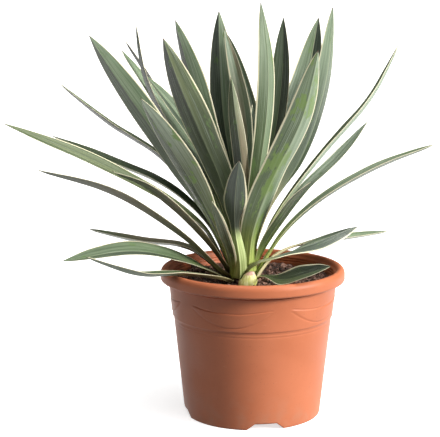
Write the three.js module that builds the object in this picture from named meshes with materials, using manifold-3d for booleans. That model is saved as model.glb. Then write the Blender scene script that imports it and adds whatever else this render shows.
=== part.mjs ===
// A potted yucca: a moulded plastic pot filled with potting mix, and a rosette of
// sword-shaped leaves on a short woody stem.
// Millimetres, +Z up. The origin is the middle of the pot's underside, on its axis.
// +X is to the right and +Y to the back, as seen from the plant's open side.
import * as THREE from "three";
import { mergeVertices } from "three/addons/utils/BufferGeometryUtils.js";
import Module from "manifold-3d";

const wasm = await Module();
wasm.setup();

const GAP = 0.3;                 // clearance between pieces that rest on each other
const DEGREE = Math.PI / 180;

// Pot
const POT_HEIGHT = 194;
const POT_FOOT_RADIUS = 89;
const POT_RIM_RADIUS = 120;
const POT_WALL = 2.6;
const POT_SIDES = 72;
const WALL_TAPER = 0.108;        // radius gained per mm of height
const COLLAR_Z = 131;            // where the wall steps out into the collar
const COLLAR_STEP = 1.3;
const BEAD_HEIGHT = 16.5;
const BEAD_CREST_RADIUS = 114;
const GROOVE_DEPTH = 1.2;        // undercut between the collar and the rim bead
const FOOT_WIDTH = 5;
const FLOOR_UNDERSIDE_Z = 9.5;
const FLOOR_THICKNESS = 2.6;
const HUB_RADIUS = 28;           // the floor's dished middle, which stands on the ground
const STACKING_RIDGES = 3;       // thin ridges inside, below the rim bead
const RIDGE_TOP_Z = 186.5;
const RIDGE_PITCH = 3.4;
const RIDGE_STEP = 0.7;

// Drainage
const NOTCH_COUNT = 4;
const NOTCH_AZIMUTH = 280;
const NOTCH_BOTTOM_WIDTH = 50;
const NOTCH_TOP_WIDTH = 28;
const NOTCH_HEIGHT = 8.5;
const HOLE_COUNT = 8;
const HOLE_RADIUS = 5;
const HOLE_CIRCLE_RADIUS = 60;

// Soil and stem
const SOIL_EDGE_Z = 177;
const SOIL_MOUND_Z = 176;
const SOIL_MOUND_RADIUS = 60;    // from here outwards the surface is nearly level
const SOIL_HOLLOW_Z = 172;
const SOIL_HOLLOW_RADIUS = 45;   // inside this is the hollow that the plant stands in
const STEM_X = -15;              // the plant stands a little left of the pot's axis
const STEM_Y = 0;
const STEM_FOOT_Z = 138;
const STEM_RADIUS = 15;
const STUB_AT = [-8, -38, SOIL_HOLLOW_Z + 2.8];
const STUB_PROFILE = [[0, 0], [8, 0], [10.5, 5], [9.5, 11], [7, 15.5], [5, 18], [0, 18.5]];
const STUB_LEAN = [0.1, 0.2];    // radians about X, then about Y

// Leaf roots sit on the stem in levels: each level is higher and closer to the axis.
const LEVEL_Z = 178;
const LEVEL_RISE = 5;
const LEVEL_RADIUS = 20;
const LEVEL_SHRINK = 1.8;
const TOP_LEVEL = 9;
const LEAF_INSET = 2;            // how far the stem's surface lies inside the leaf roots

// Leaf blade: the stations of its sections along it, and how its width grows from that of
// the neck (share 0) to the full width (share 1) and shrinks again towards the tip.
const STATIONS = [0, 0.05, 0.12, 0.2, 0.3, 0.41, 0.52, 0.62, 0.72, 0.81, 0.89, 0.95];
const OUTLINE = [[0, 0], [0.15, 0.05], [0.42, 0.75], [0.6, 1], [0.75, 0.9], [0.87, 0.5], [0.95, 0]];
const TIP_SHARE = 0.3;           // width of the last section before the point
const ROOT_THICKNESS = 2.6;
const BLADE_THICKNESS = 1.8;
const FOLD = 0.14;               // rise of each margin over the midrib, per mm of width
const ROLL_FROM = 0.05;          // the blade starts to turn here
const ROLL_TO = 0.45;            // and has its full roll here

// One row per leaf: its level on the stem and the azimuth of its root there, the widths of
// its neck and of its blade, the roll of the blade about its own length in degrees, then
// the points that its midrib passes through, ending at its tip.
const LEAVES = [
  // tall leaves, leaning left
  [4, 202, 12, 38, 45, [-68, -8, 281], [-123, 5, 367], [-169, 25, 430], [-213, 45, 491]],
  [7, 150, 8, 34, 0, [-53, 34, 296], [-93, 84, 350], [-138, 134, 410], [-180, 174, 464]],
  [6, 112, 8, 24, 60, [-50, 52, 294], [-84, 108, 336], [-134, 168, 415], [-178, 214, 476]],
  [6, 165, 7, 26, 20, [-59, 18, 298], [-115, 48, 380], [-142, 72, 437], [-154, 90, 502]],
  [8, 135, 7, 30, 0, [-40, 28, 290], [-74, 62, 352], [-107, 102, 393], [-144, 138, 431]],
  [4, 246, 10, 40, 10, [-32, -25, 286], [-63, -28, 366], [-90, -35, 430], [-113, -45, 492]],
  [6, 212, 7, 36, 20, [-27, -5, 283], [-59, 5, 372], [-78, 15, 442], [-100, 20, 512]],
  [3, 228, 12, 38, 10, [-44, -42, 248], [-72, -62, 310], [-104, -78, 366], [-139, -95, 423]],
  // tall leaves, upright
  [7, 250, 7, 38, 0, [-22, 5, 294], [-36, 15, 384], [-41, 25, 453], [-44, 30, 523]],
  [6, 298, 8, 24, 0, [-8, -12, 310], [-11, 0, 388], [-22, 8, 444], [-37, 15, 501]],
  [8, 60, 7, 36, 20, [-8, 25, 291], [-4, 75, 357], [-18, 110, 421], [-35, 140, 491]],
  [5, 278, 6, 20, 0, [-12, -22, 286], [-18, -24, 355], [-24, -22, 398], [-29, -18, 442]],
  [4, 300, 10, 27, 0, [0, -24, 286], [13, -16, 375], [17, -8, 450], [9, 5, 535]],
  [7, 30, 7, 34, 20, [4, 10, 280], [26, 25, 357], [37, 45, 433], [41, 65, 514]],
  // tall leaves, leaning right
  [6, 50, 8, 40, 20, [13, 35, 276], [44, 70, 358], [72, 100, 426], [92, 140, 510]],
  [2, 295, 15, 40, 0, [-2, -42, 253], [19, -55, 314], [56, -72, 396], [76, -90, 480]],
  [5, 340, 9, 32, -30, [19, -10, 271], [64, 5, 346], [90, 15, 430], [102, 25, 528]],
  // long leaves, spreading right
  [3, 0, 9, 28, 0, [30, 5, 261], [94, 28, 342], [154, 50, 409], [194, 75, 478]],
  [2, 30, 8, 26, 0, [26, 15, 234], [71, 45, 290], [114, 75, 325], [159, 105, 373]],
  [2, 335, 8, 24, 0, [15, -28, 235], [35, -40, 268], [54, -52, 297], [72, -60, 315]],
  [1, 5, 8, 28, 0, [40, -2, 240], [88, 12, 281], [164, 28, 322], [240, 40, 349]],
  [0, 350, 6, 30, 0, [16, -5, 198], [45, 25, 211], [104, 75, 214], [194, 140, 214]],
  [0, 270, 6, 26, 0, [-1, -30, 202], [31, -15, 210], [78, 15, 218], [141, 50, 237]],
  // short leaves at the open front
  [0, 325, 6, 30, 35, [11, -38, 189], [34, -70, 192], [61, -98, 206], [93, -112, 218]],
  [1, 265, 10, 30, 0, [-17, -36, 208], [-24, -48, 258], [-23, -62, 302], [-19, -80, 344]],
  [1, 235, 7, 18, 0, [-29, -42, 218], [-40, -58, 253], [-47, -66, 275], [-53, -72, 293]],
  // long leaves, spreading left
  [5, 182, 8, 26, 0, [-62, 10, 270], [-121, 38, 334], [-186, 62, 373], [-257, 90, 424]],
  [2, 182, 8, 28, -22, [-62, -20, 248], [-119, -25, 291], [-202, -20, 334], [-319, -10, 382]],
  [3, 160, 9, 28, 0, [-59, 14, 250], [-111, 28, 295], [-185, 47, 326], [-268, 70, 357]],
  [2, 214, 8, 26, 0, [-62, -40, 239], [-102, -56, 283], [-140, -68, 314], [-176, -75, 330]],
  [1, 205, 9, 28, 8, [-48, -30, 202], [-93, -45, 246], [-177, -60, 302], [-271, -70, 332]],
  [0, 168, 7, 26, 0, [-53, -2, 198], [-87, 25, 215], [-152, 55, 218], [-221, 85, 227]],
  [0, 195, 9, 32, -22, [-53, -28, 193], [-98, -42, 215], [-156, -55, 227], [-241, -65, 214]],
  [0, 228, 7, 22, 0, [-40, -38, 187], [-90, -65, 199], [-142, -85, 203], [-207, -100, 227]],
  // leaves at the back, and the young one in the middle
  [1, 88, 9, 32, 0, [-17, 60, 217], [-9, 130, 260], [-2, 195, 278], [1, 250, 292]],
  [0, 55, 8, 30, 0, [-5, 60, 212], [10, 115, 240], [22, 170, 250], [33, 215, 245]],
  [0, 125, 8, 28, 0, [-29, 60, 215], [-40, 120, 250], [-44, 175, 262], [-48, 225, 262]],
  [2, 112, 9, 32, 0, [-24, 55, 252], [-32, 110, 319], [-34, 160, 354], [-35, 205, 374]],
  [3, 65, 9, 32, 0, [5, 45, 261], [28, 100, 320], [41, 145, 352], [50, 180, 372]],
  [9, 20, 5, 14, 0, [-11, 3, 290], [-8, 9, 345], [-5, 14, 379], [-1, 20, 404]],
].map(([level, azimuth, neck, width, roll, ...route]) => ({ level, azimuth, neck, width, roll, route }));

// A closed three.js geometry as a manifold solid
function solid(geometry) {
  const bare = geometry.clone();
  bare.deleteAttribute("normal");
  bare.deleteAttribute("uv");
  const merged = mergeVertices(bare, 1e-4);
  const vertProperties = new Float32Array(merged.attributes.position.array);
  const triVerts = new Uint32Array(merged.index.array);
  return new wasm.Manifold(new wasm.Mesh({ numProp: 3, vertProperties, triVerts }));
}

function geometryOf(manifold) {
  const mesh = manifold.getMesh();
  const geometry = new THREE.BufferGeometry();
  geometry.setAttribute("position", new THREE.BufferAttribute(mesh.vertProperties, 3));
  geometry.setIndex(new THREE.BufferAttribute(mesh.triVerts, 1));
  return geometry;
}

// Turns a profile of [radius, z] points about the Z axis
function lathe(profile, sides) {
  const points = profile.map(([radius, z]) => new THREE.Vector2(radius, z));
  return new THREE.LatheGeometry(points, sides).rotateX(Math.PI / 2);
}

function named(name, geometry, colour, roughness) {
  const material = new THREE.MeshStandardMaterial({ color: colour, roughness, metalness: 0 });
  const mesh = new THREE.Mesh(geometry, material);
  mesh.name = name;
  return mesh;
}

function onCircle(radius, azimuth, z) {
  return new THREE.Vector3(radius * Math.cos(azimuth), radius * Math.sin(azimuth), z);
}

const wallRadius = (z) => POT_FOOT_RADIUS + WALL_TAPER * z + (z > COLLAR_Z ? COLLAR_STEP : 0);
const innerRadius = (z) => POT_FOOT_RADIUS + WALL_TAPER * z - POT_WALL;

// Points of the rim bead, from under its outer edge over the crest to the inner wall
function beadProfile() {
  const low = POT_HEIGHT - BEAD_HEIGHT;
  const outerRound = BEAD_HEIGHT * 0.52;
  const crestRound = BEAD_HEIGHT * 0.48;
  const points = [[wallRadius(low) + 1, low], [POT_RIM_RADIUS - 3, low]];
  for (const angle of [-45, 0, 30, 60, 90]) {
    const reach = angle < 0 ? 3 : POT_RIM_RADIUS - BEAD_CREST_RADIUS;
    const rise = angle < 0 ? 3 : crestRound;
    const middleZ = angle < 0 ? low + 3 : low + outerRound;
    const radius = POT_RIM_RADIUS - reach + reach * Math.cos(angle * DEGREE);
    points.push([radius, middleZ + rise * Math.sin(angle * DEGREE)]);
  }
  points.push([BEAD_CREST_RADIUS - 3.5, POT_HEIGHT - 1.5], [BEAD_CREST_RADIUS - 5.5, POT_HEIGHT - 6]);
  return points;
}

function potProfile() {
  const floorTop = FLOOR_UNDERSIDE_Z + FLOOR_THICKNESS;
  const low = POT_HEIGHT - BEAD_HEIGHT;
  const footInner = POT_FOOT_RADIUS - FOOT_WIDTH;
  const profile = [
    [0, 0],
    [HUB_RADIUS, 0],
    [HUB_RADIUS + 4, FLOOR_UNDERSIDE_Z],
    [footInner, FLOOR_UNDERSIDE_Z],
    [footInner, 0],
    [POT_FOOT_RADIUS - 1, 0],
    [wallRadius(1.5), 1.5],
    [wallRadius(COLLAR_Z - 1), COLLAR_Z - 1],
    [wallRadius(COLLAR_Z + 1), COLLAR_Z + 1],
    [wallRadius(low - 5), low - 5],
    [wallRadius(low) - GROOVE_DEPTH, low - 3],
    [wallRadius(low) - GROOVE_DEPTH, low - 1],
    ...beadProfile(),
  ];
  for (let ridge = 0; ridge < STACKING_RIDGES; ridge += 1) {
    const z = RIDGE_TOP_Z - ridge * RIDGE_PITCH;
    const proud = RIDGE_STEP * (STACKING_RIDGES - ridge) / STACKING_RIDGES;
    profile.push([innerRadius(z) + proud, z], [innerRadius(z) + proud - RIDGE_STEP, z - 1.2]);
  }
  profile.push(
    [innerRadius(floorTop + 6), floorTop + 6],
    [innerRadius(floorTop) - 5, floorTop],
    [HUB_RADIUS + 2, floorTop],
    [HUB_RADIUS - 2, FLOOR_THICKNESS],
    [0, FLOOR_THICKNESS],
  );
  return profile;
}

// A notch through the foot ring, wider at the ground, centred on +X
function notchCutter() {
  const half = NOTCH_BOTTOM_WIDTH / 2;
  const top = NOTCH_TOP_WIDTH / 2;
  const outline = new THREE.Shape([
    new THREE.Vector2(-half - 1, -1),
    new THREE.Vector2(half + 1, -1),
    new THREE.Vector2(top, NOTCH_HEIGHT),
    new THREE.Vector2(-top, NOTCH_HEIGHT),
  ]);
  const reach = FOOT_WIDTH + 12;
  const cutter = new THREE.ExtrudeGeometry(outline, { depth: reach, bevelEnabled: false });
  cutter.rotateX(Math.PI / 2).rotateZ(Math.PI / 2);
  return cutter.translate(POT_FOOT_RADIUS - FOOT_WIDTH - 10, 0, 0);
}

function drainHoleCutter(azimuth) {
  const hole = new THREE.CylinderGeometry(HOLE_RADIUS, HOLE_RADIUS, 4 * FLOOR_THICKNESS, 14);
  const centre = onCircle(HOLE_CIRCLE_RADIUS, azimuth, FLOOR_UNDERSIDE_Z);
  return hole.rotateX(Math.PI / 2).translate(centre.x, centre.y, centre.z);
}

function pot() {
  let body = solid(lathe(potProfile(), POT_SIDES));
  for (let notch = 0; notch < NOTCH_COUNT; notch += 1) {
    const azimuth = NOTCH_AZIMUTH * DEGREE + (2 * Math.PI * notch) / NOTCH_COUNT;
    body = body.subtract(solid(notchCutter().rotateZ(azimuth)));
  }
  for (let hole = 0; hole < HOLE_COUNT; hole += 1) {
    body = body.subtract(solid(drainHoleCutter((2 * Math.PI * hole) / HOLE_COUNT)));
  }
  return named("pot", geometryOf(body), 0xc4704c, 0.5);
}

function stemProfile(clearance) {
  const profile = [
    [0, STEM_FOOT_Z - clearance],
    [STEM_RADIUS * 0.7 + clearance, STEM_FOOT_Z - clearance],
    [STEM_RADIUS + clearance, STEM_FOOT_Z + 8],
  ];
  for (let level = 0; level <= TOP_LEVEL; level += 1) {
    const radius = LEVEL_RADIUS - LEAF_INSET - LEVEL_SHRINK * level;
    profile.push([radius + clearance, LEVEL_Z - 4 + LEVEL_RISE * level]);
  }
  profile.push([0, LEVEL_Z + LEVEL_RISE * TOP_LEVEL + 3 + clearance]);
  return profile;
}

function stemShape(clearance) {
  return lathe(stemProfile(clearance), 20).translate(STEM_X, STEM_Y, 0);
}

function soil() {
  const floorTop = FLOOR_UNDERSIDE_Z + FLOOR_THICKNESS + GAP;
  const edge = SOIL_EDGE_Z - 1;
  const profile = [
    [0, FLOOR_THICKNESS + GAP],
    [HUB_RADIUS - 2 - 2 * GAP, FLOOR_THICKNESS + GAP],
    [HUB_RADIUS + 2 - GAP, floorTop],
    [innerRadius(floorTop) - 5.5, floorTop],
    [innerRadius(floorTop + 6) - GAP, floorTop + 6],
    [innerRadius(edge) - RIDGE_STEP - GAP, edge],
    [innerRadius(edge) - 4, SOIL_EDGE_Z],
    [SOIL_MOUND_RADIUS, SOIL_MOUND_Z],
    [SOIL_HOLLOW_RADIUS, SOIL_HOLLOW_Z],
    [0, SOIL_HOLLOW_Z],
  ];
  const mix = solid(lathe(profile, 56)).subtract(solid(stemShape(GAP)));
  return named("soil", geometryOf(mix), 0x3a2820, 1);
}

// The pale cut end of an old offshoot, beside the foot of the stem
function cutStub() {
  const stub = lathe(STUB_PROFILE, 16).scale(1.15, 0.65, 1);
  stub.rotateX(STUB_LEAN[0]).rotateY(STUB_LEAN[1]).translate(...STUB_AT);
  return named("cut_stub", stub, 0xd6d68c, 0.6);
}

// Width of a leaf at t, along straight lines between the outline's points
function widthAt(leaf, t) {
  const end = Math.max(1, OUTLINE.findIndex(([at]) => at >= t));
  const [t0, share0] = OUTLINE[end - 1];
  const [t1, share1] = OUTLINE[end];
  const share = THREE.MathUtils.mapLinear(t, t0, t1, share0, share1);
  const narrow = t < 0.6 ? leaf.neck : TIP_SHARE * leaf.width;
  return narrow + (leaf.width - narrow) * share;
}

function leafRoot(leaf) {
  const radius = LEVEL_RADIUS - LEVEL_SHRINK * leaf.level;
  const root = onCircle(radius, leaf.azimuth * DEGREE, LEVEL_Z + LEVEL_RISE * leaf.level);
  return root.add(new THREE.Vector3(STEM_X, STEM_Y, 0));
}

// The leaf's own axes at t: along it, across it and out of its upper face
function leafFrame(leaf, curve, t) {
  const along = curve.getTangentAt(t);
  const across = onCircle(1, (leaf.azimuth + 90) * DEGREE, 0);
  across.addScaledVector(along, -across.dot(along)).normalize();
  const turned = leaf.roll * DEGREE * THREE.MathUtils.smoothstep(t, ROLL_FROM, ROLL_TO);
  across.applyAxisAngle(along, turned);
  const upper = new THREE.Vector3().crossVectors(along, across);
  return { across, upper };
}

// The four corners of the blade's section at t: margin, upper midrib, margin, lower midrib
function leafRing(leaf, curve, t) {
  const { across, upper } = leafFrame(leaf, curve, t);
  const middle = curve.getPointAt(t);
  const width = widthAt(leaf, t);
  const thickness = THREE.MathUtils.mapLinear(t, 0, 1, ROOT_THICKNESS, BLADE_THICKNESS);
  const rise = FOLD * width / 2;
  const corner = (side, up) => middle.clone().addScaledVector(across, side).addScaledVector(upper, up);
  return [
    corner(-width / 2, rise),
    corner(0, thickness / 2 - rise),
    corner(width / 2, rise),
    corner(0, -thickness / 2 - rise),
  ];
}

function leafGeometry(leaf) {
  const route = leaf.route.map(([x, y, z]) => new THREE.Vector3(x, y, z));
  const curve = new THREE.CatmullRomCurve3([leafRoot(leaf), ...route], false, "centripetal");
  const rings = STATIONS.map((t) => leafRing(leaf, curve, t));
  const positions = [...rings.flat(), curve.getPoint(1)].flatMap((p) => [p.x, p.y, p.z]);
  const triangles = [0, 1, 3, 1, 2, 3];
  for (let ring = 0; ring < rings.length - 1; ring += 1) {
    for (let side = 0; side < 4; side += 1) {
      const a = 4 * ring + side;
      const b = 4 * ring + ((side + 1) % 4);
      triangles.push(a, a + 4, b, b, a + 4, b + 4);
    }
  }
  const last = 4 * (rings.length - 1);
  const tip = 4 * rings.length;
  for (let side = 0; side < 4; side += 1) {
    triangles.push(last + side, tip, last + ((side + 1) % 4));
  }
  const geometry = new THREE.BufferGeometry();
  geometry.setAttribute("position", new THREE.Float32BufferAttribute(positions, 3));
  geometry.setIndex(triangles);
  return geometry;
}

function leafMesh(leaf, index) {
  const name = `leaf_${String(index + 1).padStart(2, "0")}`;
  return named(name, leafGeometry(leaf), 0x6f8a72, 0.55);
}

const plant = new THREE.Group();
plant.add(pot(), soil(), named("stem", stemShape(0), 0x8a7a4a, 0.8), cutStub());
plant.add(...LEAVES.map(leafMesh));
export default plant;
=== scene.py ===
"""A potted yucca: the looks of every piece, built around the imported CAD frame."""
import math
import random

import bmesh
import bpy
from mathutils import Matrix, Vector, noise


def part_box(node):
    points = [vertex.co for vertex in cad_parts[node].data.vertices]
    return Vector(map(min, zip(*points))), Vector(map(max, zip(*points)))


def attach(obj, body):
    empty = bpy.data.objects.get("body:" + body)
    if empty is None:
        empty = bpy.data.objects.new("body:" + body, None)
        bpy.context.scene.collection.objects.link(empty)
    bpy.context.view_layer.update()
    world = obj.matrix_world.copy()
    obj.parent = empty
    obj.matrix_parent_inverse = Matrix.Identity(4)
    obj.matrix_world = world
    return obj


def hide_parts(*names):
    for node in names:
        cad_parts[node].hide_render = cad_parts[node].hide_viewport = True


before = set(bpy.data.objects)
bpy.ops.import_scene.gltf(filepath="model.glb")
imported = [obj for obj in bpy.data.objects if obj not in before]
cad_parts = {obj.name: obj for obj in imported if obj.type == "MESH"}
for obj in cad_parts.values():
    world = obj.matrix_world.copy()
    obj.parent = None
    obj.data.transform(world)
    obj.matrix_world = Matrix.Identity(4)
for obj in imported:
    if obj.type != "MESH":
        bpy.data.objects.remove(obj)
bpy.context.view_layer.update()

MM = 0.001
TURN = 2 * math.pi

# Camera: where it stands, how far it looks down and its lens
CAMERA_AT = Vector((-42.5, -1801, 585.6)) * MM
CAMERA_PITCH = math.radians(10.34)
CAMERA_LENS = 115.6
CAMERA_SENSOR = 36
CAMERA_REACH = 1000

# Pot: its height and rim come from the frame, the rest follows the same moulding
POT_LOW, POT_HIGH = (Vector(corner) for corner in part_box("pot"))
POT_HEIGHT = POT_HIGH.z
RIM_RADIUS = POT_HIGH.x
FOOT_RADIUS = 89 * MM
WALL_TAPER = 0.108
WALL = 2.6 * MM
COLLAR_Z = 131 * MM
COLLAR_STEP = 1.3 * MM
BEAD_HEIGHT = 16.5 * MM
CREST_RADIUS = 114 * MM
FLOOR_Z = 9.5 * MM
HUB_RADIUS = 28 * MM
POT_SIDES = 320
NOTCHES = 4
NOTCH_AZIMUTH = math.radians(280)
NOTCH_HEIGHT = 8.5 * MM
NOTCH_HALF_BOTTOM = 25 * MM
NOTCH_HALF_TOP = 14 * MM

STACKING_RIDGES = 3
RIDGE_TOP_Z = 186.5 * MM
RIDGE_PITCH = 3.4 * MM
HOLES = 8
HOLE_RADIUS = 5 * MM
HOLE_CIRCLE = 60 * MM
POT_GLOSS = 0.28
POT_COLOUR = (0.47, 0.140, 0.060, 1.0)
POT_PALE = (0.53, 0.165, 0.075, 1.0)
POT_DUST = (0.42, 0.22, 0.14, 1.0)
POT_SPECK = (0.33, 0.11, 0.06, 1.0)
POT_SCUFF = (0.60, 0.25, 0.15, 1.0)

# Garland moulded into the collar of the pot
SWAGS = 5
SWAG_AZIMUTH = math.radians(253)
SWAG_HALF_ANGLE = math.radians(29)
SWAG_TOP_Z = 160 * MM
SWAG_TOP_SAG = 5 * MM
SWAG_LOW_Z = 157 * MM
SWAG_LOW_SAG = 21 * MM
RING_LINES = (124 * MM, 128 * MM)
SWAG_RISE = 0.35 * MM
GROOVE_DEPTH = 0.55 * MM
GROOVE_WIDTH = 0.9 * MM

# Soil, stem and stub: lumps as (smallest, largest, usual) size in mm, and layers of crumbs as
# (rise, pitch, seed) with rise and pitch in mm
STEM_LOW, STEM_HIGH = (Vector(corner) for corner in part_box("stem"))
STEM_AXIS = (STEM_LOW + STEM_HIGH) / 2
SOIL_LOW, SOIL_HIGH = (Vector(corner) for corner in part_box("soil"))
SOIL_RADIUS = SOIL_HIGH.x
SOIL_Z = SOIL_HIGH.z

SOIL_SINK = 2.5 * MM
SOIL_HOLLOW = 2.5 * MM
SOIL_RINGS = 100
SOIL_SIDES = 420
SOIL_LUMPS = 240
SOIL_SEED = 11
SOIL_TAPER = 15 * MM
LUMP_SIZE = (1.4, 4.6, 2.2)
CRUMBS = [(4.2, 9, 2.0), (2.2, 4.2, 5.0), (0.9, 1.9, 9.0)]
STEM_ROWS = 90
STEM_SIDES = 96
STEM_SUNK = 14 * MM
STEM_ROUGH = 0.6 * MM
SHEATH_PITCH = 5 * MM
STEM_FOOT_RADIUS = 17 * MM
STEM_TOP_RADIUS = 4 * MM
STUB_SLANT = 0.35

# Studio: lamps as (name, way towards the lamp, strength, width in degrees, colour). The floor
# glows and is hidden from diffuse light, so that it is white but does not light the pot.
FLOOR_COLOUR = (0.86, 0.86, 0.86, 1.0)
FLOOR_SIZE = 600
FLOOR_GLOW = 0.78
WORLD_COLOUR = (1.0, 1.0, 1.0, 1.0)
WORLD_STRENGTH = 0.15
LAMPS = [
    ("key", (0.95, -0.42, 0.45), 5.4, 20, (1.0, 0.98, 0.95)),
    ("overhead", (0.2, -0.15, 1.0), 2.6, 70, (1.0, 1.0, 1.0)),
]

# Leaf meshes: rings of the CAD leaves, steps between them and places across the blade
RINGS = 12
SPAN_STEPS = 6
HALF_ACROSS = [0.04, 0.1, 0.2, 0.33, 0.48, 0.63, 0.78, 0.9, 0.97, 1.0]
ACROSS = [-u for u in HALF_ACROSS[::-1]] + [0.0] + HALF_ACROSS
FOLD_GAIN = 1.3
SHEATH_FLARE = 0.3
KEEL = 0.35
BAND_TINT = (0.55, 0.62, 0.55, 1.0)
MOTTLE_TINT = (0.62, 0.66, 0.55, 1.0)
PETIOLE_SHARE = 0.12
NECK_THICKNESS = 3.0 * MM
BLADE_THICKNESS = 1.7 * MM
MARGIN_THICKNESS = 0.5 * MM
MARGIN_WAVE = 0.5 * MM


# ---------------------------------------------------------------- meshes

def add_piece(name, verts, faces, replaced):
    """Makes a smooth mesh object that rides on the root body and stands for CAD nodes."""
    mesh = bpy.data.meshes.new(name)
    mesh.from_pydata([tuple(v) for v in verts], [], faces)
    mesh.polygons.foreach_set("use_smooth", [True] * len(mesh.polygons))
    piece = bpy.data.objects.new(name, mesh)
    bpy.context.scene.collection.objects.link(piece)
    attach(piece, "root")
    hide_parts(replaced)
    return piece


def grid_faces(rows, columns, closed):
    """Quads between neighbouring rows of equal length; closed joins each row's ends."""
    faces = []
    for row in range(rows - 1):
        for column in range(columns if closed else columns - 1):
            a = row * columns + column
            b = row * columns + (column + 1) % columns
            faces.append((a, b, b + columns, a + columns))
    return faces


def mix(a, b, share):
    return a + (b - a) * share


def smooth(x):
    x = min(1.0, max(0.0, x))
    return x * x * (3 - 2 * x)


def catmull(points, s):
    """The point at index s of the smooth curve through the points."""
    last = len(points) - 1
    i = min(int(s), last - 1)
    f = s - i
    p0, p1 = points[max(0, i - 1)], points[i]
    p2, p3 = points[i + 1], points[min(last, i + 2)]
    return 0.5 * (2 * p1 + (p2 - p0) * f + (2 * p0 - 5 * p1 + 4 * p2 - p3) * f ** 2
                  + (3 * p1 - p0 - 3 * p2 + p3) * f ** 3)


# ---------------------------------------------------------------- shader nodes

class Shader:
    """A material's node tree, with short calls for the nodes used here."""

    def __init__(self, name):
        self.material = bpy.data.materials.new(name)
        self.material.use_nodes = True
        self.tree = self.material.node_tree
        self.principled = self.tree.nodes["Principled BSDF"]

    def feed(self, socket, value):
        if isinstance(value, bpy.types.NodeSocket):
            self.tree.links.new(value, socket)
        else:
            socket.default_value = value

    def add(self, kind, inputs, output=0, **settings):
        node = self.tree.nodes.new(kind)
        for key, value in settings.items():
            setattr(node, key, value)
        for key, value in inputs.items():
            self.feed(node.inputs[key], value)
        return node.outputs[output]

    def math(self, operation, a, b=0.0, c=0.0):
        return self.add("ShaderNodeMath", {0: a, 1: b, 2: c}, operation=operation)

    def noise(self, vector, scale, detail=3.0, roughness=0.5):
        inputs = {"Vector": vector, "Scale": scale, "Detail": detail, "Roughness": roughness}
        return self.add("ShaderNodeTexNoise", inputs)

    def step(self, value, low, high, to_low=0.0, to_high=1.0):
        inputs = {"Value": value, "From Min": low, "From Max": high, "To Min": to_low, "To Max": to_high}
        return self.add("ShaderNodeMapRange", inputs, interpolation_type="SMOOTHSTEP")

    def blend(self, share, a, b, mode="MIX"):
        node = self.tree.nodes.new("ShaderNodeMix")
        node.data_type = "RGBA"
        node.blend_type = mode
        self.feed(node.inputs[0], share)
        self.feed(node.inputs[6], a)
        self.feed(node.inputs[7], b)
        return node.outputs[2]

    def scaled(self, vector, scale, offset=(0, 0, 0)):
        inputs = {"Vector": vector, "Location": offset, "Scale": scale}
        return self.add("ShaderNodeMapping", inputs)

    def place(self):
        return self.add("ShaderNodeTexCoord", {}, output=3)

    def bump(self, height, strength, distance, normal=None):
        inputs = {"Height": height, "Strength": strength, "Distance": distance}
        if normal is not None:
            inputs["Normal"] = normal
        return self.add("ShaderNodeBump", inputs)

    def finish(self, **sockets):
        for name, value in sockets.items():
            self.feed(self.principled.inputs[name.replace("_", " ")], value)
        return self.material


# ---------------------------------------------------------------- pot

def wall_radius(z):
    """Outer radius of the pot's wall, with the small step out into the collar."""
    return FOOT_RADIUS + WALL_TAPER * z + COLLAR_STEP * smooth((z - COLLAR_Z) / (2 * MM) + 0.5)


def inner_radius(z):
    return FOOT_RADIUS + WALL_TAPER * z - WALL


def arc_points(centre, reach, rise, start, end, count):
    angles = [math.radians(mix(start, end, i / count)) for i in range(count + 1)]
    return [(centre[0] + reach * math.cos(a), centre[1] + rise * math.sin(a)) for a in angles]


def outer_profile():
    """The outside of the pot from its foot up to the undercut below the bead."""
    low = POT_HEIGHT - BEAD_HEIGHT
    points = [(FOOT_RADIUS - 1.2 * MM, 0), (FOOT_RADIUS - 0.2 * MM, 0.4 * MM)]
    z = 1.5 * MM
    while z < low - 3.4 * MM:
        points.append((wall_radius(z), z))
        fine = COLLAR_Z - 10 * MM < z < low
        z += (0.55 if fine else 2.2) * MM
    neck = wall_radius(low)
    points += [(neck - 0.3 * MM, low - 3 * MM), (neck - 1.2 * MM, low - 2.2 * MM)]
    points += [(neck - 1.2 * MM, low - 1.0 * MM), (neck - 0.8 * MM, low)]
    return points


def bead_profile():
    """The rolled rim, from its lower lip over the crest and down inside."""
    low = POT_HEIGHT - BEAD_HEIGHT
    lip = arc_points((RIM_RADIUS - 3 * MM, low + 3 * MM), 3 * MM, 3 * MM, -90, 0, 8)
    round_z = low + BEAD_HEIGHT * 0.52
    reach = RIM_RADIUS - CREST_RADIUS
    crest = arc_points((CREST_RADIUS, round_z), reach, BEAD_HEIGHT * 0.48, 0, 90, 16)
    inside = arc_points((CREST_RADIUS, POT_HEIGHT - 5 * MM), 5 * MM, 5 * MM, 90, 180, 8)
    return [(RIM_RADIUS - 5.5 * MM, low)] + lip + crest + inside[1:]


def inner_profile():
    """The inside of the pot, with stacking ridges below the bead, down to the floor."""
    points = []
    for ridge in range(STACKING_RIDGES):
        z = RIDGE_TOP_Z - ridge * RIDGE_PITCH
        radius = inner_radius(z)
        points += [(radius + 0.9 * MM, z + 1.6 * MM), (radius + 0.8 * MM, z + 0.5 * MM)]
        points += [(radius - 0.1 * MM, z), (radius - 0.2 * MM, z - 0.9 * MM)]
    top = FLOOR_Z + WALL
    points += [(inner_radius(top + 6 * MM), top + 6 * MM), (inner_radius(top) - 1.5 * MM, top + 1.8 * MM)]
    points += [(inner_radius(top) - 5 * MM, top), (HOLE_CIRCLE + 8 * MM, top), (HOLE_CIRCLE - 8 * MM, top)]
    points += [(HUB_RADIUS + 2 * MM, top), (HUB_RADIUS - 2 * MM, WALL)]
    return points


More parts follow.
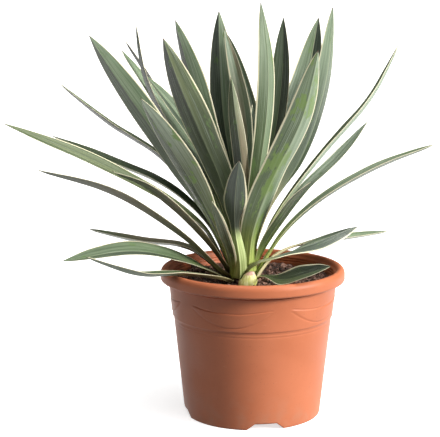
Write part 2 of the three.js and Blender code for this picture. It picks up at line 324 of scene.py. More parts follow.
def swag_offset(azimuth, z):
    """How far the garland relief lies below the smooth collar: shallow moulded lines."""
    pitch = TURN / SWAGS
    turned = (azimuth - SWAG_AZIMUTH + pitch / 2) % pitch - pitch / 2
    across = turned / SWAG_HALF_ANGLE
    depth = 0.0
    if abs(across) < 1:
        drape = 1 - across * across
        for line_z in (SWAG_TOP_Z - SWAG_TOP_SAG * drape, SWAG_LOW_Z - SWAG_LOW_SAG * drape):
            depth += line_cut(z, line_z)
        upper = SWAG_TOP_Z - SWAG_TOP_SAG * drape
        lower = SWAG_LOW_Z - SWAG_LOW_SAG * drape
        if lower < z < upper:
            depth -= SWAG_RISE * smooth((z - lower) / MM) * smooth((upper - z) / MM)
    for ring_z in RING_LINES:
        depth += 0.5 * line_cut(z, ring_z)
    return depth


def line_cut(z, line_z):
    away = (z - line_z) / GROOVE_WIDTH
    return GROOVE_DEPTH * math.exp(-away * away)


def notch_lift(azimuth, z):
    """Share of the way up that the foot's lower edge is cut away at this azimuth."""
    pitch = TURN / NOTCHES
    turned = (azimuth - NOTCH_AZIMUTH + pitch / 2) % pitch - pitch / 2
    reach = abs(turned) * FOOT_RADIUS
    run = NOTCH_HALF_BOTTOM - NOTCH_HALF_TOP
    return smooth_edge((NOTCH_HALF_BOTTOM - reach) / run) * NOTCH_HEIGHT


def smooth_edge(x):
    return min(1.0, max(0.0, x))


def pot_rows():
    """Every profile point in order, with a tag that says what shapes it."""
    rows = [(r, z, "outside") for r, z in outer_profile()]
    rows += [(r, z, "bead") for r, z in bead_profile() + inner_profile()]
    hub = HUB_RADIUS
    rows += [(0, WALL, "bead"), (0, 0, "bead"), (hub - 1 * MM, 0, "bead")]
    rows += [(hub + 0.5 * MM, 0.8 * MM, "bead"), (hub + 4 * MM, FLOOR_Z, "bead")]
    rows += [(HOLE_CIRCLE - 8 * MM, FLOOR_Z, "bead"), (HOLE_CIRCLE + 8 * MM, FLOOR_Z, "bead")]
    inner = FOOT_RADIUS - 5 * MM
    rows += [(inner - 1 * MM, FLOOR_Z, "bead"), (inner, FLOOR_Z - 0.6 * MM, "foot")]
    rows += [(inner, 0.3 * MM, "foot")]
    return rows


def pot_vertex(radius, z, tag, azimuth):
    if tag == "outside" and z > COLLAR_Z - 10 * MM:
        radius -= swag_offset(azimuth, z)
    if tag in ("outside", "foot") and z < NOTCH_HEIGHT:
        lift = notch_lift(azimuth, z)
        if z < lift:
            z = lift
            radius = wall_radius(z) - 0.1 * MM if tag == "outside" else radius
    return (radius * math.cos(azimuth), radius * math.sin(azimuth), z)


def build_pot():
    rows = pot_rows()
    verts = [pot_vertex(r, z, tag, TURN * i / POT_SIDES) for r, z, tag in rows for i in range(POT_SIDES)]
    faces = grid_faces(len(rows), POT_SIDES, True)
    last = (len(rows) - 1) * POT_SIDES
    faces += [(last + i, last + (i + 1) % POT_SIDES, (i + 1) % POT_SIDES, i) for i in range(POT_SIDES)]
    pot = add_piece("pot_shell", verts, faces, "pot")
    merge_close(pot)
    cut_drain_holes(pot)
    pot.data.materials.append(pot_material())
    return pot


def merge_close(piece, gap=0.00001):
    """Joins vertices that coincide and drops the faces that this flattens."""
    shape = bmesh.new()
    shape.from_mesh(piece.data)
    bmesh.ops.remove_doubles(shape, verts=shape.verts, dist=gap)
    bmesh.ops.dissolve_degenerate(shape, edges=shape.edges, dist=gap)
    shape.to_mesh(piece.data)
    shape.free()


def cut_drain_holes(pot):
    """Cuts the round drain holes through the floor with one boolean."""
    mesh = bpy.data.meshes.new("drills")
    drill = bmesh.new()
    for k in range(HOLES):
        a = TURN * k / HOLES
        place = Matrix.Translation((HOLE_CIRCLE * math.cos(a), HOLE_CIRCLE * math.sin(a), FLOOR_Z))
        bmesh.ops.create_cone(drill, cap_ends=True, segments=32, radius1=HOLE_RADIUS,
                              radius2=HOLE_RADIUS, depth=12 * MM, matrix=place)
    drill.to_mesh(mesh)
    drill.free()
    drills = bpy.data.objects.new("drills", mesh)
    bpy.context.scene.collection.objects.link(drills)
    cut = pot.modifiers.new("holes", "BOOLEAN")
    cut.operation, cut.solver, cut.object = "DIFFERENCE", "EXACT", drills
    apply_modifiers(pot)
    bpy.data.objects.remove(drills)


def apply_modifiers(piece):
    view = bpy.context.evaluated_depsgraph_get()
    shaped = bpy.data.meshes.new_from_object(piece.evaluated_get(view))
    piece.modifiers.clear()
    old, piece.data = piece.data, shaped
    bpy.data.meshes.remove(old)


def pot_material():
    """Terracotta-coloured moulded plastic: satin, slightly cloudy, dusty low down."""
    s = Shader("terracotta_plastic")
    place = s.place()
    cloud = s.noise(place, 14.0, 4.0)
    fine = s.noise(place, 900.0, 2.0)
    height = s.add("ShaderNodeSeparateXYZ", {0: place}, 2)
    base = s.blend(s.step(cloud, 0.35, 0.7), POT_COLOUR, POT_PALE)
    dusty = s.math("MULTIPLY", s.step(height, 0.0, 0.06, 1.0, 0.0), s.step(s.noise(place, 45.0), 0.4, 0.7))
    base = s.blend(s.math("MULTIPLY", dusty, 0.35), base, POT_DUST)
    specks = s.step(s.noise(place, 420.0, 1.0), 0.68, 0.76, 0.0, 0.35)
    base = s.blend(specks, base, POT_SPECK)
    scuff = s.step(s.noise(s.scaled(place, (60, 60, 420)), 1.0, 2.0), 0.70, 0.80, 0.0, 0.25)
    base = s.blend(scuff, base, POT_SCUFF)
    rough = s.step(cloud, 0.3, 0.7, 0.42, 0.56)
    swirl = s.bump(s.noise(place, 55.0, 2.0), 0.12, 0.0006)
    normal = s.bump(fine, 0.25, 0.00008, swirl)
    return s.finish(Base_Color=base, Roughness=rough, Normal=normal, Specular_IOR_Level=POT_GLOSS)


# ---------------------------------------------------------------- leaves

# The greens of the blades, as a screen shows them
GREENS = {
    "deep": (34, 42, 28),
    "olive": (66, 78, 36),
    "green": (74, 92, 54),
    "slate": (64, 78, 64),
    "moss": (104, 114, 74),
    "sage": (116, 134, 102),
    "silver": (158, 174, 146),
    "frost": (196, 210, 186),
    "straw": (166, 148, 120),
}

# A neck's light and dark stripes
NECKS = {
    "lime": ((188, 202, 116), (126, 150, 66)),
    "pale": ((204, 218, 154), (150, 174, 98)),
    "olive": ((124, 130, 76), (66, 70, 38)),
    "cream": ((226, 218, 176), (188, 176, 124)),
    "straw": ((180, 172, 122), (124, 112, 72)),
    "brown": ((108, 100, 66), (60, 54, 36)),
}

# Default look of a leaf; the high-X half, on the key lamp's side, gets a lighter tint as painted light.
LEAF_LOOK = {
    "low": ("green", "green"),
    "high": ("sage", "sage"),
    "back": ("green", "sage"),
    "vein": (128, 138, 116),
    "stripe": 0.7,
    "band": 0.9,
    "fresh": 0.55,
    "fresh_colour": (70, 88, 34),
    "wax": 0.5,
    "wax_colour": (184, 196, 178),
    "rubbed": (92, 122, 62),
    "rub": 0.6,
    "rub_from": 0.6,
    "midrib": 0.25,
    "midrib_colour": (188, 196, 160),
    "margin": (232, 226, 192),
    "margin_width": 0.045,
    "margin_strength": 0.95,
    "neck": "lime",
    "neck_from": 0.10,
    "neck_to": 0.40,
    "neck_size": 1.2,
    "blade_from": (0.12, 0.13),
    "tip": 0.025,
    "dry": (84, 58, 42),
}


# Each leaf's greens, of its low-X half and its high-X half, each as (middle, top). Besides the leaf's own
# colour they hold painted light and shade:
# the half or end turned to the lamps is painted lighter, the one turned away or shaded by other leaves
# painted darker.
LEAF_LOOKS = {
    "leaf_01": {"low": ("green", "green"), "high": ("sage", "silver")},
    "leaf_02": {"low": ("slate", "slate"), "high": ("sage", "sage")},
    "leaf_03": {"low": ("deep", "deep"), "high": ("slate", "deep")},
    "leaf_04": {"low": ("deep", "slate"), "high": ("slate", "slate")},
    "leaf_05": {"low": ("slate", "slate"), "high": ("sage", "sage")},
    "leaf_06": {"low": ("olive", "deep"), "high": ("olive", "moss"), "neck": "olive"},
    "leaf_07": {"low": ("deep", "deep"), "high": ("sage", "silver")},
    "leaf_08": {"low": ("olive", "green"), "high": ("moss", "frost"), "neck": "lime",
                "rubbed": (98, 132, 44), "rub": 0.8, "rub_from": 0.54, "blade_from": (0.26, 0.56)},
    "leaf_09": {"low": ("slate", "slate"), "high": ("sage", "silver")},
    "leaf_10": {"low": ("straw", "frost"), "high": ("silver", "straw"), "margin_width": 0.09},
    "leaf_11": {"low": ("deep", "slate"), "high": ("slate", "sage")},
    "leaf_12": {"low": ("deep", "olive"), "high": ("straw", "moss")},
    "leaf_13": {"low": ("green", "silver"), "high": ("sage", "sage"), "margin_width": 0.07},
    "leaf_14": {"low": ("sage", "silver"), "high": ("deep", "slate")},
    "leaf_15": {"low": ("slate", "sage"), "high": ("deep", "slate"), "midrib": 0.85},
    "leaf_16": {"low": ("green", "sage"), "high": ("silver", "silver"), "neck": "lime",
                "rubbed": (104, 132, 56), "rub": 0.75, "rub_from": 0.5, "neck_to": 0.34,
                "neck_size": 1.5, "margin_width": 0.06},
    "leaf_17": {"low": ("slate", "silver"), "high": ("slate", "sage"), "neck": "cream"},
    "leaf_18": {"low": ("silver", "silver"), "high": ("frost", "silver")},
    "leaf_19": {"low": ("frost", "frost"), "high": ("frost", "frost")},
    "leaf_20": {"low": ("green", "olive"), "high": ("green", "green")},
    "leaf_21": {"low": ("silver", "sage"), "high": ("sage", "silver")},
    "leaf_22": {"low": ("silver", "sage"), "high": ("sage", "sage"), "neck": "cream",
                "neck_from": 0.3, "neck_to": 0.5, "blade_from": (0.34, 0.6), "neck_size": 0.9},
    "leaf_23": {"low": ("silver", "slate"), "high": ("slate", "slate"), "neck": "olive",
                "neck_from": 0.3, "margin_width": 0.09, "blade_from": (0.38, 0.66), "neck_size": 0.8},
    "leaf_24": {"low": ("moss", "green"), "high": ("slate", "deep"), "neck": "straw",
                "neck_to": 0.34, "margin_width": 0.07, "blade_from": (0.3, 0.62), "neck_size": 0.8},
    "leaf_25": {"low": ("slate", "slate"), "high": ("deep", "slate"), "neck": "pale", "wax": 0.15,
                "fresh": 0.1, "neck_from": 0.36, "neck_to": 0.46, "neck_size": 1.6,
                "margin_width": 0.07, "blade_from": (0.42, 0.66)},
    "leaf_26": {"low": ("silver", "silver"), "high": ("olive", "olive"), "margin_width": 0.12},
    "leaf_27": {"low": ("deep", "deep"), "high": ("slate", "slate")},
    "leaf_28": {"low": ("moss", "green"), "high": ("moss", "moss"), "neck": "brown"},
    "leaf_29": {"low": ("deep", "slate"), "high": ("green", "green"), "neck": "brown"},
    "leaf_30": {"low": ("olive", "green"), "high": ("straw", "moss"), "neck": "brown"},
    "leaf_31": {"low": ("green", "green"), "high": ("straw", "olive"), "neck": "brown"},
    "leaf_32": {"low": ("deep", "deep"), "high": ("straw", "moss"), "neck": "brown"},
    "leaf_33": {"low": ("sage", "sage"), "high": ("slate", "sage"), "neck": "olive"},
    "leaf_34": {"low": ("slate", "sage"), "high": ("sage", "silver"), "neck": "straw"},
}


def linear(colour):
    """A shader colour from red, green and blue of 0 to 255 as a screen shows them."""
    def channel(v):
        v /= 255
        return v / 12.92 if v <= 0.04045 else ((v + 0.055) / 1.055) ** 2.4
    return (*(channel(v) for v in colour), 1.0)


def leaf_layers(node):
    """A CAD leaf's vertices as layers of four from the tip's neighbours down to the root."""
    shape = bmesh.new()
    shape.from_mesh(node.data)
    bmesh.ops.remove_doubles(shape, verts=shape.verts, dist=0.00001)
    for start in shape.verts:
        layers, seen = [[start]], {start}
        while layers[-1]:
            near = {e.other_vert(v) for v in layers[-1] for e in v.link_edges} - seen
            seen |= near
            layers.append(sorted(near, key=lambda v: v.index))
            if len(near) not in (0, 4):
                break
        layers.pop()
        if len(layers) == RINGS + 1 and all(len(layer) == 4 for layer in layers[1:]):
            found = [ring_order(layer) for layer in layers[1:]]
            tip = start.co.copy()
            shape.free()
            return tip, found[::-1]
    raise RuntimeError(node.name + " has no tip")


def ring_order(layer):
    """The four points of a ring in order: the widest pair are the margins."""
    points = [v.co.copy() for v in layer]
    pairs = [(0, 1, 2, 3), (0, 2, 1, 3), (0, 3, 1, 2)]
    a, b, c, d = max(pairs, key=lambda p: (points[p[0]] - points[p[1]]).length
                     if (points[p[0]] - points[p[1]]).length > (points[p[2]] - points[p[3]]).length
                     else (points[p[2]] - points[p[3]]).length)
    if (points[a] - points[b]).length < (points[c] - points[d]).length:
        a, b, c, d = c, d, a, b
    return [points[a], points[b], points[c], points[d]]


def leaf_stations(node):
    """Centre, half width, fold and normal at each ring of a CAD leaf, root first."""
    tip, rings = leaf_layers(node)
    stations = []
    for left, right, one, two in rings:
        centre = (left + right) / 2
        fold = (one + two) / 2 - centre
        stations.append({"centre": centre, "half": (right - left) / 2, "fold": fold})
    for i, here in enumerate(stations):
        after = stations[i + 1]["centre"] if i + 1 < len(stations) else tip
        before = stations[i - 1]["centre"] if i else here["centre"]
        along = (after - before).normalized()
        if i and here["half"].dot(stations[i - 1]["half"]) < 0:
            here["half"] = -here["half"]
        here["normal"] = here["half"].cross(along).normalized()
    votes = sum(here["normal"].dot(here["fold"]) for here in stations)
    if votes > 0:
        for here in stations:
            here["normal"] = -here["normal"]
    middle = stations[len(stations) // 2]
    if middle["half"].x < 0:
        for here in stations:
            here["half"] = -here["half"]
    last = stations[-1]
    end = {"centre": tip, "half": last["half"] * 0.0, "fold": last["fold"] * 0.0, "normal": last["normal"]}
    return stations + [end]


def width_place(share, start, full):
    """Where along the CAD leaf to read the width, so that the petiole lasts until start."""
    if share <= PETIOLE_SHARE or share >= full:
        return share
    return mix(PETIOLE_SHARE, full, smooth_edge((share - start) / (full - start)))


def leaf_section(stations, s, wave, parts):
    """The closed loop of points round the blade at s, and how far across each lies."""
    centre = catmull([k["centre"] for k in stations], s)
    half = catmull([k["half"] for k in stations], s)
    fold = catmull([k["fold"] for k in stations], s)
    normal = catmull([k["normal"] for k in stations], s).normalized()
    share = s / (len(stations) - 1)
    read = width_place(share, *parts["blade_from"]) * (len(stations) - 1)
    wide = catmull([k["half"].length for k in stations], read) / max(1e-6, half.length)
    wide *= mix(parts["neck_size"], 1, smooth((share - 0.25) * 4))
    half, fold = half * wide, fold * wide
    thick = mix(NECK_THICKNESS, BLADE_THICKNESS, smooth(share * 3)) * smooth((1 - share) * 9 + 0.15)
    sheath = 1 + SHEATH_FLARE * (1 - smooth(share * 5))
    loop = []
    for face, order in ((1, ACROSS), (-1, ACROSS[::-1])):
        for u in order:
            depth = fold * (FOLD_GAIN * (1 - abs(u) ** 1.35) - (FOLD_GAIN - 1) / 2)
            ripple = wave(s, u) * abs(u) ** 3
            body = mix(thick, min(thick, MARGIN_THICKNESS), abs(u) ** 2.2) / 2
            if face < 0:
                body += KEEL * thick * math.exp(-(u / 0.09) ** 2)
            point = centre + half * (u * sheath) + depth + normal * (face * body + ripple)
            loop.append((point, ((u + 1) / 2, share, (1 - face) / 2)))
    return loop


def leaf_wave(seed):
    """A small unevenness of the margins, different for each leaf."""
    def wave(s, u):
        place = Vector((s * 0.55, seed * 7.3, 2.5 if u > 0 else 0.0))
        return MARGIN_WAVE * smooth(s - 1.5) * noise.noise(place) * 2
    return wave


def build_leaf(name, look):
    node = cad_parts[name]
    stations = leaf_stations(node)
    number = int(name[-2:])
    parts = {**LEAF_LOOK, **look}
    wave = leaf_wave(number)
    spans = len(stations) - 1
    verts, marks = [], []
    rows = spans * SPAN_STEPS
    for row in range(rows):
        for point, mark in leaf_section(stations, row / SPAN_STEPS, wave, parts):
            verts.append(point)
            marks.append(mark)
    columns = 2 * len(ACROSS)
    faces = grid_faces(rows, columns, True)
    tip = len(verts)
    verts.append(stations[-1]["centre"])
    marks.append((0.5, 1.0, 0.5))
    last = (rows - 1) * columns
    faces += [(last + i, last + (i + 1) % columns, tip) for i in range(columns)]
    faces.append(tuple(range(columns))[::-1])
    leaf = add_piece(name + "_blade", verts, faces, name)
    layer = leaf.data.attributes.new("blade", "FLOAT_VECTOR", "POINT")
    layer.data.foreach_set("vector", [value for mark in marks for value in mark])
    recalculate_normals(leaf)
    outer_seen = stations[spans // 2]["normal"].y > 0
    leaf.data.materials.append(leaf_material(name, number, parts, outer_seen))
    return leaf


def recalculate_normals(piece):
    shape = bmesh.new()
    shape.from_mesh(piece.data)
    bmesh.ops.recalc_face_normals(shape, faces=shape.faces)
    shape.to_mesh(piece.data)
    shape.free()


def leaf_material(name, number, parts, outer_seen):
    """Waxy blue-green blade with lengthwise stripes, cream margins and a dry brown tip."""
    s = Shader(name + "_wax")
    mark = s.add("ShaderNodeAttribute", {}, 1, attribute_name="blade")
    split = s.tree.nodes.new("ShaderNodeSeparateXYZ")
    s.feed(split.inputs[0], mark)
    across, along, side = split.outputs
    ribs = s.noise(s.scaled(mark, (26, 1.6, 0), (number * 3.1, number, 0)), 1.0, 3.0, 0.6)
    veins = s.noise(s.scaled(mark, (110, 3.0, 0), (number, 0, 0)), 1.0, 2.0)
    # The face turned to the front (-Y) takes the half tints with their painted light and shade; the other
    # face takes the plain back tints.
    seen = leaf_face(s, across, along, ribs, parts["low"], parts["high"], parts["stripe"])
    other = leaf_face(s, across, along, ribs, parts["back"], parts["back"], parts["stripe"])
    seen_share = s.step(side, 0.4, 0.6, *((0.0, 1.0) if outer_seen else (1.0, 0.0)))
    colour = s.blend(seen_share, other, seen)
    band = s.noise(s.scaled(mark, (7, 0.8, 0), (number * 2.3, number * 1.1, 0)), 1.0, 2.0)
    colour = s.blend(s.step(band, 0.38, 0.62, 0.0, parts["band"]), colour, BAND_TINT, "MULTIPLY")
    mottle = s.noise(s.scaled(mark, (2.2, 6.0, 0), (number * 4.3, 0, 0)), 1.0, 3.0, 0.6)
    colour = s.blend(s.step(mottle, 0.35, 0.7, 0.0, 0.45), colour, MOTTLE_TINT, "MULTIPLY")
    colour = s.blend(s.step(veins, 0.35, 0.7, 0.0, 0.16), colour, linear(parts["vein"]))
    streak = s.noise(s.scaled(mark, (34, 2.4, 0), (number * 6.1, number, 0)), 1.0, 4.0, 0.7)
    wax = s.math("MULTIPLY", s.step(streak, 0.5, 0.7), s.step(along, 0.2, 0.6, 0.3, 1.0))
    colour = s.blend(s.math("MULTIPLY", wax, parts["wax"]), colour, linear(parts["wax_colour"]))
    lower = s.step(along, 0.16, 0.62, parts["fresh"], 0.0)
    fresh = s.math("MULTIPLY", lower, s.step(ribs, 0.3, 0.6, 0.5, 1.0))
    colour = s.blend(fresh, colour, linear(parts["fresh_colour"]))
    rub = s.noise(s.scaled(mark, (2.6, 9.0, 0), (number * 1.7, number * 5.0, 0)), 1.0, 4.0, 0.65)
    rubbed = s.step(rub, parts["rub_from"], parts["rub_from"] + 0.07, 0.0, parts["rub"])
    colour = s.blend(rubbed, colour, linear(parts["rubbed"]))
    middle = s.math("ABSOLUTE", s.math("SUBTRACT", across, 0.5))
    rib = s.step(middle, 0.012, 0.03, parts["midrib"], 0.0)
    colour = s.blend(rib, colour, linear(parts["midrib_colour"]))
    colour = leaf_margin(s, colour, middle, along, parts, number)
    neck_share = s.step(along, parts["neck_from"], parts["neck_to"], 1.0, 0.0)
    neck = s.blend(s.step(ribs, 0.4, 0.65), *map(linear, NECKS[parts["neck"]]))
    colour = s.blend(neck_share, colour, neck)
    fray = s.math("MULTIPLY_ADD", s.noise(s.scaled(mark, (7, 30, 0)), 1.0), 0.03, along)
    dry = s.step(fray, 1.005 - parts["tip"], 1.02 - parts["tip"] * 0.6)
    colour = s.blend(dry, colour, linear(parts["dry"]))
    rough = s.step(ribs, 0.3, 0.7, 0.30, 0.48)
    ridge = s.bump(ribs, 0.5, 0.001)
    normal = s.bump(veins, 0.3, 0.0002, ridge)
    return s.finish(Base_Color=colour, Roughness=rough, Normal=normal)


def leaf_face(s, across, along, ribs, low, high, stripe):
    """One face of a blade: the tints of its two halves, partly its own colour and partly painted light and
    shade, darkened by broad stripes.
    """
    upward = s.step(along, 0.5, 0.86)
    low, high = (s.blend(upward, *(linear(GREENS[green]) for green in half)) for half in (low, high))
    tint = s.blend(s.step(across, 0.485, 0.515), low, high)
    dark = s.blend(1.0, tint, (0.45, 0.52, 0.48, 1.0), "MULTIPLY")
    return s.blend(s.step(ribs, 0.47, 0.62, 0.0, stripe), tint, dark)


def leaf_margin(s, colour, middle, along, parts, number):
    """The pale horny edge, uneven in width."""
    wander = s.noise(s.add("ShaderNodeCombineXYZ", {0: along, 1: float(number), 2: 0.0}), 9.0, 2.0)
    edge = s.math("MULTIPLY_ADD", wander, 0.03, middle)
    start = 0.515 - parts["margin_width"]
    share = s.step(edge, start, start + 0.02, 0.0, parts["margin_strength"])
    return s.blend(share, colour, linear(parts["margin"]))


# ---------------------------------------------------------------- soil

def crumb_height(x, y, pitch, seed):
    """Height share of a bed of rounded crumbs about one pitch across."""
    place = Vector((x / pitch + seed, y / pitch, seed * 3.7))
    near, points = noise.voronoi(place)
    cell = noise.cell(points[0] * 5.1)
    dome = max(0.0, 1 - (near[0] / 0.62) ** 2) ** 0.5
    return dome * (0.35 + 0.65 * abs(cell))


def soil_height(x, y):
    rough = noise.fractal(Vector((x / 0.03, y / 0.03, 1.7)), 1.0, 2.0, 3)
    away = math.hypot(x - STEM_AXIS.x, y - STEM_AXIS.y)
    height = 2.0 * MM * rough - SOIL_HOLLOW * (1 - smooth((away - 20 * MM) / (30 * MM)))
    for rise, pitch, seed in CRUMBS:
        height += rise * MM * crumb_height(x, y, pitch * MM, seed)
    return height


def build_soil():
    """The mix in the pot: a crumbled surface with loose lumps of bark on it."""
    random.seed(SOIL_SEED)
    verts, faces = [(0, 0, SOIL_Z + soil_height(0, 0) - SOIL_SINK)], []
    edge = SOIL_RADIUS - 0.4 * MM
    for ring in range(1, SOIL_RINGS + 1):
        r = edge * ring / SOIL_RINGS
        for i in range(SOIL_SIDES):
            a = TURN * i / SOIL_SIDES
            x, y = r * math.cos(a), r * math.sin(a)
            verts.append((x, y, SOIL_Z - SOIL_SINK + soil_height(x, y)))
    faces += [(0, 1 + i, 1 + (i + 1) % SOIL_SIDES) for i in range(SOIL_SIDES)]
    faces += [tuple(1 + v for v in quad) for quad in grid_faces(SOIL_RINGS, SOIL_SIDES, True)]
    top = len(verts) - SOIL_SIDES
    floor_z = FLOOR_Z + WALL + 0.3 * MM
    foot = edge - SOIL_TAPER
    base = len(verts)
    for i in range(SOIL_SIDES):
        a = TURN * i / SOIL_SIDES
        verts.append((foot * math.cos(a), foot * math.sin(a), floor_z))
    for i in range(SOIL_SIDES):
        after = (i + 1) % SOIL_SIDES
        faces.append((top + i, base + i, base + after, top + after))
    faces.append(tuple(range(base, base + SOIL_SIDES))[::-1])
    for _ in range(SOIL_LUMPS):
        add_lump(verts, faces, edge)
    soil = add_piece("soil_mix", verts, faces, "soil")
    recalculate_normals(soil)
    soil.data.materials.append(soil_material())
    return soil


def add_lump(verts, faces, edge):
    """One angular crumb lying on the surface."""
    r = edge * math.sqrt(random.random()) * 0.96
    a = random.random() * TURN
    x, y = r * math.cos(a), r * math.sin(a)
    size = random.triangular(*LUMP_SIZE) * MM
    z = SOIL_Z - SOIL_SINK + soil_height(x, y) + size * 0.25
    shape = bmesh.new()
    bmesh.ops.create_icosphere(shape, subdivisions=2, radius=1)
    turn = Matrix.Rotation(random.random() * TURN, 3, "Z") @ Matrix.Rotation(random.random() * 3, 3, "X")
    stretch = Vector((1, random.uniform(0.6, 1.0), random.uniform(0.45, 0.8)))
    seed = Vector((random.random() * 50, 0, 0))
    start = len(verts)
    for v in shape.verts:
        push = 1 + 0.45 * noise.noise(v.co * 1.6 + seed) + 0.2 * noise.noise(v.co * 4 + seed)
        spot = turn @ Vector([c * k for c, k in zip(v.co * push, stretch)]) * size
        verts.append((x + spot.x, y + spot.y, z + spot.z))
    faces.extend(tuple(start + v.index for v in face.verts) for face in shape.faces)
    shape.free()


def soil_material():
    """Damp bark and peat: dark brown crumbs, some dried pinkish grey."""
    s = Shader("potting_mix")
    place = s.place()
    grain = s.noise(place, 260.0, 5.0, 0.65)
    clump = s.add("ShaderNodeTexVoronoi", {"Vector": place, "Scale": 190.0}, 1)
    tint = s.add("ShaderNodeSeparateColor", {0: clump}, 0)
    base = s.blend(s.step(grain, 0.35, 0.68), linear((44, 28, 22)), linear((98, 66, 52)))
    base = s.blend(s.step(tint, 0.72, 0.80), base, linear((140, 106, 92)))
    base = s.blend(s.step(tint, 0.10, 0.04), base, linear((26, 17, 14)))
    fleck = s.step(s.noise(place, 520.0, 2.0), 0.68, 0.74)
    base = s.blend(fleck, base, linear((176, 150, 132)))
    normal = s.bump(s.noise(place, 700.0, 4.0, 0.7), 0.7, 0.0008)
    return s.finish(Base_Color=base, Roughness=s.step(grain, 0.3, 0.7, 0.7, 0.95), Normal=normal)


# ---------------------------------------------------------------- stem and stub

def build_stem():
    """The short stem under the crown, ringed with the sheaths of old leaves."""
    rows, sides = STEM_ROWS, STEM_SIDES
    z0, z1 = SOIL_Z - STEM_SUNK, STEM_HIGH.z
    verts = []
    for row in range(rows):
        z = mix(z0, z1, row / (rows - 1))
        reach = stem_radius(z)
        for i in range(sides):
            a = TURN * i / sides
            scale = abs(math.sin(z / SHEATH_PITCH * math.pi + 0.8 * math.sin(a * 3)))
            x, y = math.cos(a), math.sin(a)
            rough = STEM_ROUGH * noise.noise(Vector((3 * x, 3 * y, z * 300)))
            radius = reach * (0.94 + 0.05 * scale) + rough
            verts.append((STEM_AXIS.x + radius * x, STEM_AXIS.y + radius * y, z))
    faces = grid_faces(rows, sides, True)
    faces.append(tuple(range(sides))[::-1])
    faces.append(tuple(range((rows - 1) * sides, rows * sides)))
    stem = add_piece("stem_core", verts, faces, "stem")
    stem.data.materials.append(stem_material())
    return stem


def stem_radius(z):
    """Radius of the stem, widest at the soil and rounded over at the top."""
    share = (z - SOIL_Z) / (STEM_HIGH.z - SOIL_Z)
    body = mix(STEM_FOOT_RADIUS, STEM_TOP_RADIUS, smooth_edge(share))
    return body * math.sqrt(max(0.01, 1 - max(0.0, (share - 0.9) / 0.1) ** 2))


def stem_material():
    s = Shader("stem_sheaths")
    place = s.place()
    height = s.add("ShaderNodeSeparateXYZ", {0: place}, 2)
    fibre = s.noise(s.scaled(place, (300, 300, 40)), 1.0, 4.0, 0.6)
    bark = s.blend(s.step(fibre, 0.35, 0.65), linear((70, 52, 34)), linear((132, 108, 68)))
    green = s.blend(s.step(fibre, 0.35, 0.65), linear((126, 132, 62)), linear((188, 188, 112)))
    base = s.blend(s.step(height, SOIL_Z + 2 * MM, SOIL_Z + 16 * MM), bark, green)
    wave = {"Vector": place, "Scale": 60.0, "Distortion": 3.0}
    rings = s.add("ShaderNodeTexWave", wave, 1, bands_direction="Z")
    base = s.blend(s.math("MULTIPLY", rings, 0.35), base, linear((84, 66, 38)))
    normal = s.bump(fibre, 0.5, 0.001)
    return s.finish(Base_Color=base, Roughness=s.step(fibre, 0.3, 0.7, 0.55, 0.8), Normal=normal)


def build_stub():
    """The pale swollen stub of an offshoot that was cut off, with its callused cut."""
    low, high = (Vector(corner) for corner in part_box("cut_stub"))
    centre, size = (low + high) / 2, high - low
    rows, sides = 44, 64
    verts = []
    for row in range(rows + 1):
        share = row / rows
        reach, rise = stub_outline(share)
        for i in range(sides):
            a = TURN * i / sides
            lump = 1 + 0.05 * noise.noise(Vector((2 * math.cos(a), 2 * math.sin(a), rise * 2)))
            x = reach * math.cos(a) * size.x * 0.5 * lump
            y = reach * math.sin(a) * size.y * 0.5 * lump
            z = (rise - 0.5) * size.z + 0.25 * x + STUB_SLANT * x * smooth((rise - 0.6) * 3)
            verts.append(centre + Vector((x, y, min(z, size.z / 2 + 1.5 * MM))))
    faces = grid_faces(rows + 1, sides, True)
    faces.append(tuple(range(sides))[::-1])
    faces.append(tuple(range(rows * sides, (rows + 1) * sides)))
    stub = add_piece("stub_callus", verts, faces, "cut_stub")
    merge_close(stub)
    recalculate_normals(stub)
    stub.data.materials.append(stub_material(centre, size))
    return stub


def stub_outline(share):
    """Reach and height of the stub's skin, from under it, over its belly to the cut."""
    points = [(0.3, -0.1), (0.8, 0.05), (1.0, 0.25), (1.02, 0.45), (0.9, 0.66), (0.72, 0.82),
              (0.58, 0.93), (0.5, 0.985), (0.4, 1.0), (0.2, 0.96), (0.02, 0.95)]
    spot = catmull([Vector(p) for p in points], share * (len(points) - 1))
    return spot.x, spot.y


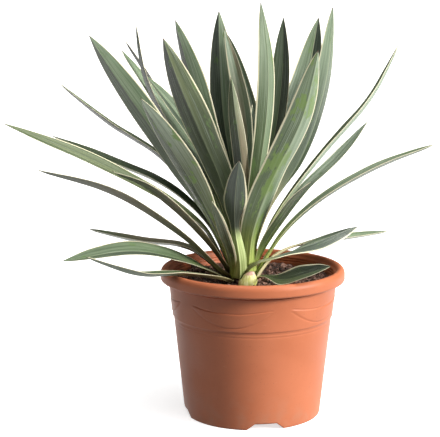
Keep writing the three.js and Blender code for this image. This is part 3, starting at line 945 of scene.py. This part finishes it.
def stub_material(centre, size):
    s = Shader("cut_callus")
    place = s.place()
    height = s.add("ShaderNodeSeparateXYZ", {0: place}, 2)
    fibre = s.noise(s.scaled(place, (420, 420, 60)), 1.0, 3.0)
    skin = s.blend(s.step(fibre, 0.35, 0.7), linear((198, 200, 112)), linear((232, 230, 172)))
    low = centre.z - size.z / 2
    skin = s.blend(s.step(height, low, low + 0.4 * size.z, 0.7, 0.0), skin, linear((128, 128, 62)))
    spots = s.step(s.noise(place, 380.0, 2.0), 0.66, 0.74, 0.0, 0.7)
    skin = s.blend(spots, skin, linear((140, 104, 62)))
    cut = s.blend(s.noise(place, 300.0), linear((226, 190, 172)), linear((176, 128, 112)))
    top = centre.z + 0.34 * size.z
    base = s.blend(s.step(height, top, top + 0.1 * size.z), skin, cut)
    normal = s.bump(fibre, 0.4, 0.0008)
    return s.finish(Base_Color=base, Roughness=s.step(fibre, 0.3, 0.7, 0.42, 0.6), Normal=normal)


# ---------------------------------------------------------------- studio

def build_studio():
    bpy.ops.mesh.primitive_plane_add(size=FLOOR_SIZE)
    floor = bpy.context.object
    floor.name = "studio_floor"
    s = Shader("studio_paper")
    tooth = s.noise(s.place(), 400.0, 2.0)
    paper = s.finish(Base_Color=FLOOR_COLOUR, Roughness=0.9, Normal=s.bump(tooth, 0.05, 0.0002),
                     Emission_Color=FLOOR_COLOUR, Emission_Strength=FLOOR_GLOW)
    floor.data.materials.append(paper)
    floor.visible_diffuse = False
    world = bpy.data.worlds.new("studio")
    bpy.context.scene.world = world
    world.use_nodes = True
    world.node_tree.nodes["Background"].inputs[0].default_value = WORLD_COLOUR
    world.node_tree.nodes["Background"].inputs[1].default_value = WORLD_STRENGTH
    for name, way, power, spread, colour in LAMPS:
        lamp = bpy.data.lights.new(name, "SUN")
        lamp.energy, lamp.angle, lamp.color = power, math.radians(spread), colour
        holder = bpy.data.objects.new(name, lamp)
        holder.rotation_euler = Vector(way).to_track_quat("Z", "Y").to_euler()
        bpy.context.scene.collection.objects.link(holder)
    bpy.context.scene.view_settings.view_transform = "Standard"


def build_camera():
    camera = bpy.data.objects.new("camera", bpy.data.cameras.new("camera"))
    camera.location = CAMERA_AT
    camera.rotation_euler = (math.radians(90) - CAMERA_PITCH, 0, 0)
    camera.data.lens = CAMERA_LENS
    camera.data.sensor_width = CAMERA_SENSOR
    camera.data.clip_end = CAMERA_REACH
    bpy.context.scene.collection.objects.link(camera)
    bpy.context.scene.camera = camera


build_camera()
build_studio()
build_pot()
build_soil()
build_stem()
build_stub()
for leaf_name in sorted(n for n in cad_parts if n.startswith("leaf_")):
    build_leaf(leaf_name, LEAF_LOOKS.get(leaf_name, {}))
